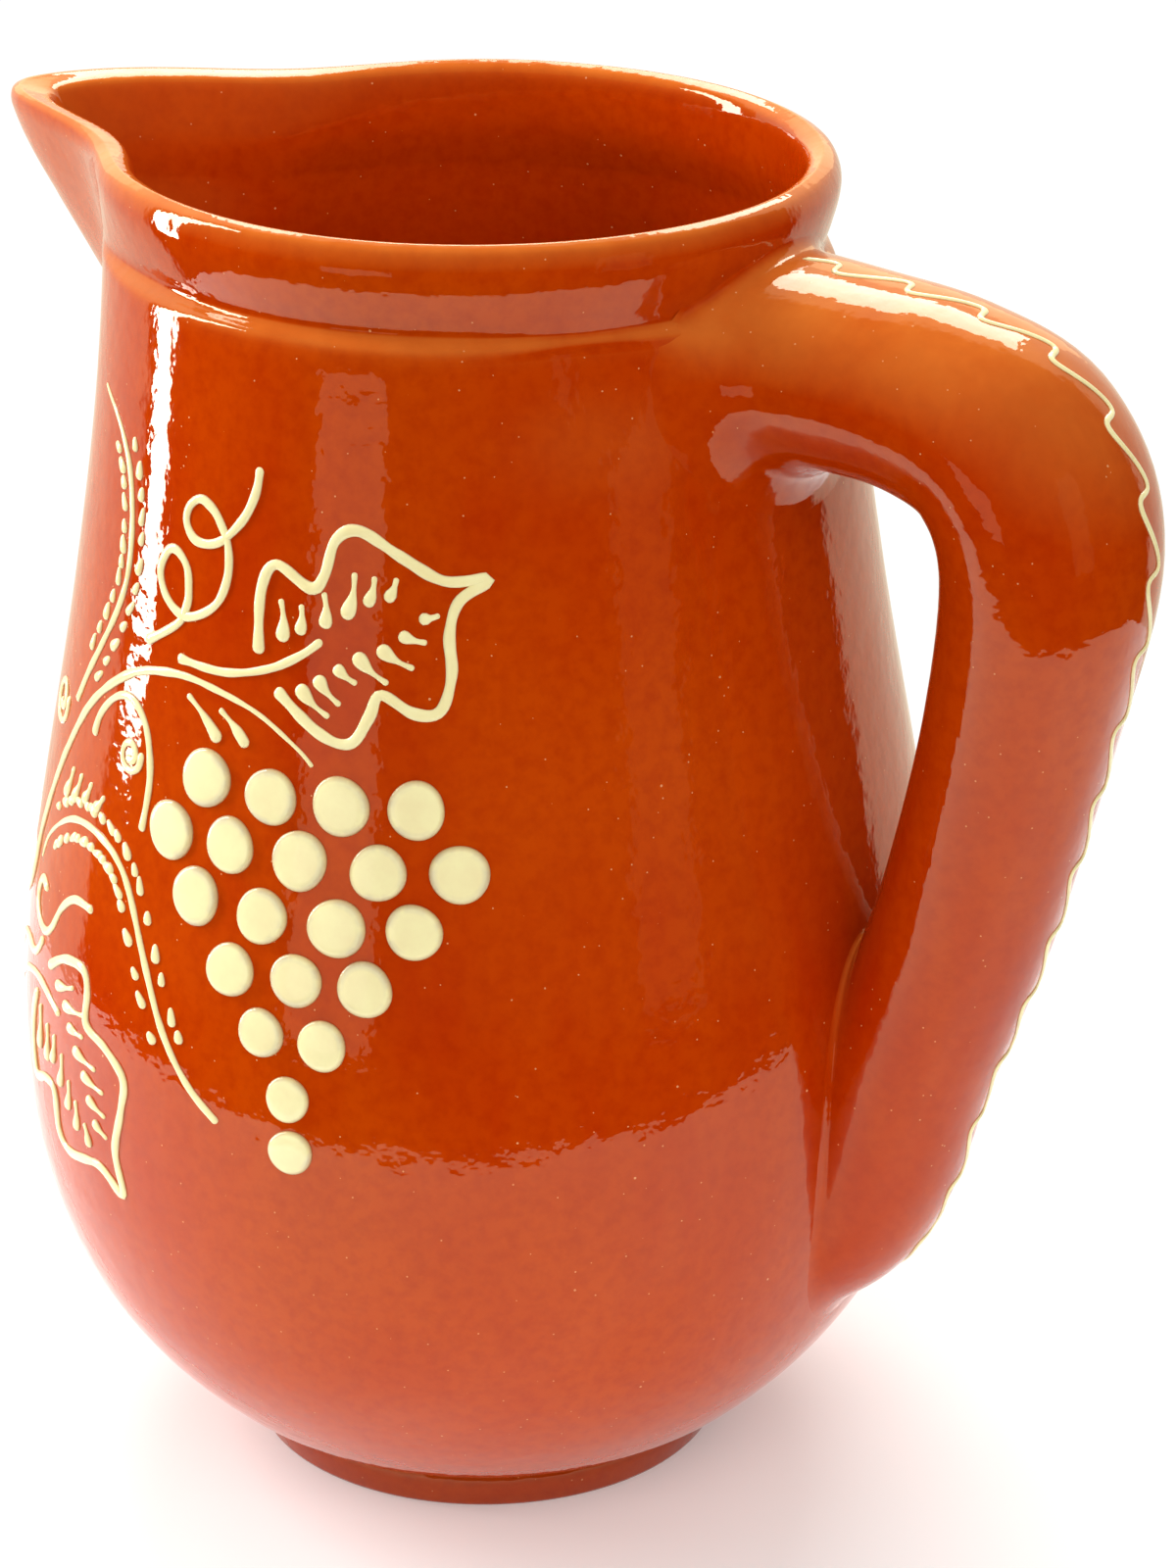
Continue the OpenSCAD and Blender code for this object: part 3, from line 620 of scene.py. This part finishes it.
class SlipPiece:
    # gathers trails, drops and dots that are laid on one side of the wall
    def __init__(self, side, seed):
        self.side = side
        self.seed = seed
        self.points, self.faces, self.shade = [], [], []

    def place(self, alpha, z, lift):
        # front (side 1) is the -Y side, where the angle from the spout counts negative
        return wallPoint(-self.side * (alpha + trailing["turn"]), z, lift)

    def addRings(self, rings, shades):
        start, n = len(self.points), len(rings[0])
        for ring, shade in zip(rings, shades):
            self.points += ring
            self.shade += shade
        self.faces += [tuple(start + i for i in f) for f in gridFaces(len(rings), n)]
        self.faces.append(tuple(start + k for k in range(n)))
        self.faces.append(tuple(start + (len(rings) - 1) * n + k for k in range(n)))

    def stroke(self, path, widthAt, height=None):
        # path in [angle, height]; widthAt(share, distance, length) gives the width
        path = np.array(path, float)
        flat = np.array([(a * math.radians(1) * wallRadius(-a, z), z) for a, z in path])
        steps = np.linalg.norm(np.diff(flat, axis=0), axis=1)
        run = np.concatenate([[0], np.cumsum(steps)])
        length = run[-1]
        count = max(int(length / trailing["spacing"]), 4)
        # closer rings near both ends, where the trail rounds off
        marks = np.concatenate([[0, 0.15, 0.4], np.arange(1, count), [count - 0.4, count - 0.15, count]])
        rings, shades = [], []
        m = trailing["across"]
        for s in marks / count:
            d = s * length
            alpha, z = np.interp(d, run, path[:, 0]), np.interp(d, run, path[:, 1])
            ahead, behind = min(d + 0.3, length), max(d - 0.3, 0)
            arc = wallRadius(-alpha, z) * math.radians(1)
            t = unit(np.array([(np.interp(ahead, run, path[:, 0]) - np.interp(behind, run, path[:, 0])) * arc,
                               np.interp(ahead, run, path[:, 1]) - np.interp(behind, run, path[:, 1])]))
            unevenness = 1 + 0.07 * math.sin(d / 1.9 + self.seed) + 0.05 * math.sin(d / 0.8 + 2 * self.seed)
            w = widthAt(s, d, length) * unevenness
            half = w / 2
            end = min(d, length - d)
            cap = math.sqrt(max(1 - (1 - min(end / half, 1)) ** 2, 0.004))
            tall = (height or trailing["height"]) * min(1.15, (w / trailing["width"]) ** 0.6) * cap
            half *= cap
            ring, shade = [], []
            for k in range(m + 1):
                x = -math.cos(math.pi * k / m)
                ring.append(self.place(alpha - t[1] * x * half / arc, z + t[0] * x * half,
                                       tall * math.sqrt(max(1 - x * x, 0)) ** 0.8 - trailing["sink"]))
                shade.append(max(abs(x), 1 - cap * 0.999))
            rings.append(ring)
            shades.append(shade)
        self.addRings(rings, shades)

    def line(self, controls, width=None, blobStart=0.25, blobEnd=0.25, fineStart=False, fineEnd=False):
        base = width or trailing["width"]

        def widthAt(s, d, length):
            blobs = 1 + blobStart * math.exp(-d / 1.3) + blobEnd * math.exp(-(length - d) / 1.3)
            w = trailing["spread"] * base * blobs
            if fineStart:
                w *= 0.45 + 0.55 * ease(d / (0.3 * length))
            if fineEnd:
                w *= 0.45 + 0.55 * ease((length - d) / (0.3 * length))
            return w
        self.stroke(smoothCurve(controls, 8), widthAt)

    def drop(self, tail, head, size=1.0, bend=0.0):
        tail, head = np.array(tail, float), np.array(head, float)
        across = np.array([-(head - tail)[1], (head - tail)[0]])
        path = [tail + (head - tail) * t + across * bend * math.sin(math.pi * t)
                for t in np.linspace(0, 1, 12)]

        def widthAt(s, d, length):
            return size * (1.2 - 0.3 * math.sin(math.pi * min(s / 0.6, 1)) + 1.25 * ease((s - 0.3) / 0.5))
        self.stroke(path, widthAt, trailing["height"] * 1.1)

    def bead(self, middle, lean, arc, size):
        # plump teardrop laid along lean, in millimetres on the wall
        tail, head = middle - lean / np.array([arc, 1]), middle + lean / np.array([arc, 1])
        path = [tail + (head - tail) * t for t in np.linspace(0, 1, 9)]
        self.stroke(path, lambda s, d, length: size * (0.55 + 0.45 * math.sin(math.pi * min(s / 1.3, 0.5))),
                    trailing["height"])

    def beadsBeside(self, controls, distance, start, stop, count):
        curve = smoothCurve(controls, 6)
        last = len(curve) - 1
        for k in range(count):
            i = int(round(last * (start + (stop - start) * k / (count - 1))))
            a, b = curve[max(i - 1, 0)], curve[min(i + 1, last)]
            arc = wallRadius(-curve[i][0], curve[i][1]) * math.radians(1)
            t = unit(np.array([(b[0] - a[0]) * arc, b[1] - a[1]]))
            sideways = np.array([-t[1], t[0]])
            middle = curve[i] + sideways * distance / np.array([arc, 1])
            lean = (t * 1.3 - sideways * np.sign(distance) * 0.4) * (1 + 0.15 * math.sin(3.1 * k + self.seed))
            self.bead(middle, lean, arc, 1.65 + 0.2 * math.sin(1.7 * k + self.seed))

    def dome(self, alpha, z, radius, tall, wobble):
        # flat-topped dot with a rounded, slightly uneven edge
        arc = wallRadius(-alpha, z) * math.radians(1)
        n = 40
        rings, shades = [], []
        for share, lift in grapeBunch["shape"]:
            ring = []
            for k in range(n):
                a = 2 * math.pi * k / n
                uneven = 1 + 0.022 * math.sin(2 * a + wobble) + 0.014 * math.sin(3 * a + 2.3 * wobble)
                r = radius * share * uneven
                ring.append(self.place(alpha + r * math.cos(a) / arc, z + r * math.sin(a), tall * lift))
            rings.append(ring)
            shades.append([share] * n)
        self.addRings(rings, shades)

    def finish(self, name, nodes, material):
        makePiece(name, np.array(self.points), self.faces, [material], nodes, shade=self.shade)


def spiral(middle, radius, turns, start):
    # eight points to a turn, from the small inner end outward
    arc = wallRadius(-middle[0], middle[1]) * math.radians(1)
    n = int(8 * turns)
    return [(middle[0] + radius * (0.22 + 0.78 * i / n) * math.cos(math.radians(start + 45 * i)) / arc,
             middle[1] + radius * (0.22 + 0.78 * i / n) * math.sin(math.radians(start + 45 * i)))
            for i in range(n + 1)]


grapeBunch = {
    # number of grapes, angle between them and size share, row by row
    "rows": [(4, 10.1, 1), (5, 10.1, 1), (4, 9.8, 1), (3, 9, 0.95), (2, 8.2, 0.88), (1, 0, 0.84),
             (1, 0, 0.84)],
    "middle": 98.6, "top": 0.619, "pitch": 9.2, "size": 9.0, "tall": 0.85,
    # one grape from its middle to its edge: share of the radius, share of the height
    "shape": [(0.04, 1.0), (0.3, 1.0), (0.6, 0.985), (0.78, 0.93), (0.88, 0.82), (0.95, 0.6), (0.985, 0.35),
              (1.0, -0.08)],
}
# controls, distance of the beads on either side, number of beads
sprigs = {
    "upper": (upperSprig, 3.0, 2.6, 12),
    "lower": (lowerSprig, 2.9, 2.9, 17),
}


def decorate(side, word, seed):
    stem = SlipPiece(side, seed)
    stem.line(mainStem, 1.45, blobStart=0, fineEnd=True)
    stem.finish(word + "MainStem", [word + "_main_stem"], slip)

    grapes = SlipPiece(side, seed + 1)
    for i, (count, apart, share) in enumerate(grapeBunch["rows"]):
        for k in range(count):
            wobble = seed * 1.7 + i * 2.1 + k * 1.3
            angle = grapeBunch["middle"] + (k - (count - 1) / 2) * apart + 0.25 * math.sin(wobble)
            z = grapeBunch["top"] * potHeight - i * grapeBunch["pitch"] + 0.3 * math.cos(wobble * 1.4)
            radius = grapeBunch["size"] / 2 * share * (1 + 0.03 * math.sin(wobble * 2.7))
            grapes.dome(angle, z, radius, grapeBunch["tall"], wobble)
    grapes.finish(word + "Grapes", [word + "_grapes"], grapeSlip)

    outline = SlipPiece(side, seed + 2)
    outline.line(leafOutline, 1.75, blobStart=0.45, blobEnd=0.35)
    outline.finish(word + "LeafOutline", [word + "_leaf_outline"], slip)

    veins = SlipPiece(side, seed + 3)
    veins.line(leafRib, 1.3, blobStart=0.6, blobEnd=0.1)
    for tail, head in leafDrops:
        veins.drop(tail, head, 0.95, 0.06)
    veins.finish(word + "LeafVeins", [word + "_leaf_veins"], slip)

    curl = SlipPiece(side, seed + 4)
    curl.line(tendrilTop, 1.45, blobStart=0.2, blobEnd=0.2)
    curl.finish(word + "Tendril", [word + "_tendril"], slip)

    for level, (controls, left, right, count) in sprigs.items():
        sprig = SlipPiece(side, seed + 5)
        sprig.line(controls, 1.25, blobStart=0, blobEnd=0.4, fineStart=True)
        sprig.beadsBeside(controls, left, 0.2, 0.84, count)
        sprig.beadsBeside(controls, -right, 0.16, 0.82, count)
        sprig.finish(word + level.capitalize() + "Sprig", [word + "_" + level + "_sprig"], slip)

    swirls = SlipPiece(side, seed + 6)
    swirls.line(swirlHook, 1.3, blobStart=0.4, blobEnd=0.1)
    swirls.line(spiral((68.8, 135.3), 3.0, 1.5, 200), 1.15)
    swirls.line(spiral((44, 134.5), 4.4, 1.5, 200), 1.15)
    swirls.finish(word + "Swirl", [word + "_swirl"], slip)

    drops = SlipPiece(side, seed + 7)
    for tail, head in smallDrops:
        drops.drop(tail, head, 0.9, 0.05)
    drops.finish(word + "SmallDrops", [word + "_small_drops"], slip)

    lowOutline = SlipPiece(side, seed + 8)
    lowOutline.line(lowLeaf, 1.6)
    lowOutline.finish(word + "LowLeafOutline", [word + "_low_leaf_outline"], slip)

    lowVeins = SlipPiece(side, seed + 9)
    lowVeins.line(lowLeafRib, 1.3, blobStart=0.5)
    for tail, head in lowLeafDrops:
        lowVeins.drop(tail, head, 0.85, 0.05)
    lowVeins.finish(word + "LowLeafVeins", [word + "_low_leaf_veins"], slip)

    lowCurl = SlipPiece(side, seed + 10)
    lowCurl.line(lowTendril, 1.35)
    lowCurl.line(lowTendrilEnd, 1.35)
    lowCurl.finish(word + "LowTendril", [word + "_low_tendril"], slip)


# side, word in the names, start of the small irregularities
decorate(1, "front", 0.4)
decorate(-1, "back", 2.9)
print("slip trails made")

waveLine = {
    "pitch": 12.5, "swing": 1.9, "drift": 2.2, "hook": 1.7, "width": 1.05, "height": 0.4,
    "start": 3.0, "short": 12, "spacing": 0.5,      # along the strap, from where it leaves the wall
}


def buildWaveLine():
    # wavy trail along the strap's outer side, from the lip to the lower joint
    us = np.linspace(strapExit(0.0, *topExit), strapExit(0.0, *lowExit), 500)
    spine = np.array([strapPoint(u, 0.0) for u in us])
    run = np.concatenate([[0], np.cumsum(np.linalg.norm(np.diff(spine, axis=0), axis=1))])
    start, stop = waveLine["start"], run[-1] - waveLine["short"]
    count = int((stop - start) / waveLine["spacing"])

    def spot(d, sideways=0.0):
        # long flat runs and short steep hooks towards the front side
        phase = 2 * math.pi * (d - start) / waveLine["pitch"]
        u = float(np.interp(d + waveLine["hook"] * math.sin(phase), run, us))
        swing = waveLine["swing"] * math.sin(phase) + sideways
        swing += waveLine["drift"] * ease(2 * (d - start) / (stop - start))
        width = strap["width"] / 2 * strapFrame(u)[2][0]
        return strapPoint(u, math.asin(max(min(swing / width, 0.9), -0.9)))

    across = trailing["across"]
    rings, shades = [], []
    for j in range(count + 1):
        d = start + (stop - start) * j / count
        here = spot(d)
        t = unit(spot(d + 0.4) - spot(d - 0.4))
        aroundStep = spot(d, 0.5) - spot(d, -0.5)
        n = unit(np.cross(aroundStep, t))
        if n[0] + n[2] < 0:
            n = -n
        s = unit(np.cross(n, t))
        end = min(d - start, stop - d)
        half = waveLine["width"] / 2 * (1 + 0.1 * math.sin(d / 2.3))
        cap = math.sqrt(max(1 - (1 - min(end / half, 1)) ** 2, 0.004))
        ring, shade = [], []
        for k in range(across + 1):
            x = -math.cos(math.pi * k / across)
            lift = waveLine["height"] * cap * math.sqrt(max(1 - x * x, 0)) - trailing["sink"]
            ring.append(here + s * x * half * cap + n * lift)
            shade.append(abs(x))
        rings.append(ring)
        shades.append(shade)
    points = [p for ring in rings for p in ring]
    faces = gridFaces(len(rings), across + 1)
    faces += [tuple(range(across + 1)), tuple(range(len(points) - across - 1, len(points)))]
    makePiece("handleWaveLine", np.array(points), faces, [slip], ["handle_wave_line"],
              shade=[v for row in shades for v in row])


buildWaveLine()
print("wave line made")

# floor, light and camera

# lengths in metres from here on
stand = {
    "across": 0.37, "deep": 0.285, "shift": 0.03, "thick": 0.004, "colour": (0.88, 0.88, 0.87), "glow": 0.16,
}
camera = {
    "distance": 0.73625, "height": 0.42134, "azimuth": 35.0, "tilt": 67.256, "turn": -1.338,
    "lens": 112.04, "sensor": 36,
}
room = {
    "white": 1.05,      # seen around the pot
    # mirrored by the glaze
    "sheet": (1.0, 0.92, 0.72), "dim": (0.012, 0.01, 0.008), "sheetEdge": (0.265, 0.29),
    # soft light from all around
    "fill": 0.62, "low": (0.30, 0.28, 0.26), "high": (1.0, 0.98, 0.96), "horizon": (0.45, 0.55),
}
# place and aim: right of the camera's line, towards the camera, height
softboxes = {
    "topSoftbox": {"place": (0.05, -0.75, 0.98), "aim": (0, 0, 0.15), "size": (0.95, 0.42), "radiance": 7.5},
    "rearSoftbox": {"place": (0, -1.15, 0.55), "aim": (0, 0, 0.2), "size": (1.4, 0.5), "radiance": 0.9,
                    "colour": (1.0, 0.72, 0.36)},
    "leftWindow": {"place": (-0.79, -0.21, 0.42), "aim": (0, 0, 0.15), "size": (0.15, 0.95),
                   "radiance": 18.0},
    "leftPanel": {"place": (-0.57, 0.76, 0.054), "aim": (0, 0, 0.19), "size": (0.34, 0.23), "radiance": 0.9,
                  "colour": (1.0, 0.85, 0.75)},
    "rightPanel": {"place": (0.62, 0.62, 0.28), "aim": (0, 0, 0.15), "size": (0.26, 0.6), "radiance": 0.25,
                   "colour": (1.0, 0.7, 0.45)},
    "frontFill": {"place": (0.1, 1.1, 0.8), "aim": (0, 0, 0.1), "size": (1.2, 0.9), "radiance": 2.0,
                  "glossy": False},
}


def studioSpot(right, towards, height):
    a = math.radians(camera["azimuth"])
    x = right * math.cos(a) + towards * math.sin(a)
    return Vector((x, right * math.sin(a) - towards * math.cos(a), height))


def buildFloor():
    # plain pale oval board under the pot
    mesh = bpy.data.meshes.new("floorBoard")
    work = bmesh.new()
    t = stand["thick"]
    profile = [(0.0004, 0), (0.5, 0), (0.993, 0), (0.998, -0.0005), (1, -0.002), (1, -t), (0.0004, -t)]
    sides = 128
    turns = [2 * math.pi * k / sides for k in range(sides)]
    rings = [[work.verts.new(studioSpot(stand["shift"] + share * stand["across"] * math.cos(a),
                                        share * stand["deep"] * math.sin(a), z)) for a in turns]
             for share, z in profile]
    for lower, upper in zip(rings, rings[1:]):
        for k in range(sides):
            work.faces.new((lower[k], lower[(k + 1) % sides], upper[(k + 1) % sides], upper[k]))
    bmesh.ops.recalc_face_normals(work, faces=work.faces)
    work.to_mesh(mesh)
    work.free()
    floor = bpy.data.objects.new("floorBoard", mesh)
    bpy.context.scene.collection.objects.link(floor)
    material, tree, shader = newTree("paleBoard")
    darker = tuple(c * 0.98 for c in stand["colour"])
    shade = ramp(tree, noise(tree, objectPlace(tree), 8, 3), [(0.2, stand["colour"]), (0.8, darker)])
    tree.links.new(shade, shader.inputs["Base Color"])
    shader.inputs["Roughness"].default_value = 0.9
    shader.inputs["Specular IOR Level"].default_value = 0.1
    shader.inputs["Emission Color"].default_value = (1, 1, 1, 1)
    shader.inputs["Emission Strength"].default_value = stand["glow"]
    mesh.materials.append(material)


def placeCamera():
    data = bpy.data.cameras.new("studioCamera")
    data.lens, data.sensor_width, data.clip_start = camera["lens"], camera["sensor"], 0.01
    eye = bpy.data.objects.new("studioCamera", data)
    eye.location = studioSpot(0, camera["distance"], camera["height"])
    eye.rotation_euler = (math.radians(camera["tilt"]), 0, math.radians(camera["azimuth"] + camera["turn"]))
    bpy.context.scene.collection.objects.link(eye)
    bpy.context.scene.camera = eye


def addSoftbox(name, place, aim, size, radiance, colour=(1, 1, 1), glossy=True):
    data = bpy.data.lights.new(name, "AREA")
    data.shape, data.size, data.size_y = "RECTANGLE", size[0], size[1]
    data.energy = radiance * math.pi * size[0] * size[1]
    data.color = colour
    lamp = bpy.data.objects.new(name, data)
    lamp.location = studioSpot(*place)
    lamp.rotation_euler = (studioSpot(*aim) - lamp.location).to_track_quat("-Z", "Y").to_euler()
    lamp.visible_glossy = glossy
    lamp.visible_camera = False
    bpy.context.scene.collection.objects.link(lamp)


def makeWorld():
    # white around the pot; the room that the glaze mirrors is dim
    world = bpy.data.worlds.new("studioRoom")
    bpy.context.scene.world = world
    world.use_nodes = True
    tree = world.node_tree
    tree.nodes.clear()
    out = tree.nodes.new("ShaderNodeOutputWorld")
    path = tree.nodes.new("ShaderNodeLightPath")
    seen = addNode(tree, "ShaderNodeBackground", None, Color=(1, 1, 1, 1), Strength=room["white"])
    # the pale sheet behind the pot shows only at the glaze's grazing edges
    direction = tree.nodes.new("ShaderNodeTexCoord").outputs["Generated"]
    axes = addNode(tree, "ShaderNodeSeparateXYZ", None, Vector=direction)
    a = math.radians(camera["azimuth"])
    towards = calc(tree, "ADD", times(tree, axes.outputs[0], math.sin(a)),
                   times(tree, axes.outputs[1], -math.cos(a)))
    sheetStops = list(zip(room["sheetEdge"], (room["sheet"], room["dim"])))
    sheet = ramp(tree, times(tree, calc(tree, "ADD", towards, 1), 0.5), sheetStops)
    mirrored = addNode(tree, "ShaderNodeBackground", None, Color=sheet, Strength=1.0)
    heightStops = list(zip(room["horizon"], (room["low"], room["high"])))
    upDown = ramp(tree, times(tree, calc(tree, "ADD", axes.outputs[2], 1), 0.5), heightStops)
    around = addNode(tree, "ShaderNodeBackground", None, Color=upDown, Strength=room["fill"])
    first = tree.nodes.new("ShaderNodeMixShader")
    second = tree.nodes.new("ShaderNodeMixShader")
    tree.links.new(path.outputs["Is Glossy Ray"], first.inputs[0])
    tree.links.new(around.outputs[0], first.inputs[1])
    tree.links.new(mirrored.outputs[0], first.inputs[2])
    tree.links.new(path.outputs["Is Camera Ray"], second.inputs[0])
    tree.links.new(first.outputs[0], second.inputs[1])
    tree.links.new(seen.outputs[0], second.inputs[2])
    tree.links.new(second.outputs[0], out.inputs["Surface"])


buildFloor()
placeCamera()
makeWorld()
for name, settings in softboxes.items():
    addSoftbox(name, **settings)
bpy.context.scene.view_settings.view_transform = "Standard"
bpy.context.scene.view_settings.look = "None"
print("floor, light and camera placed")
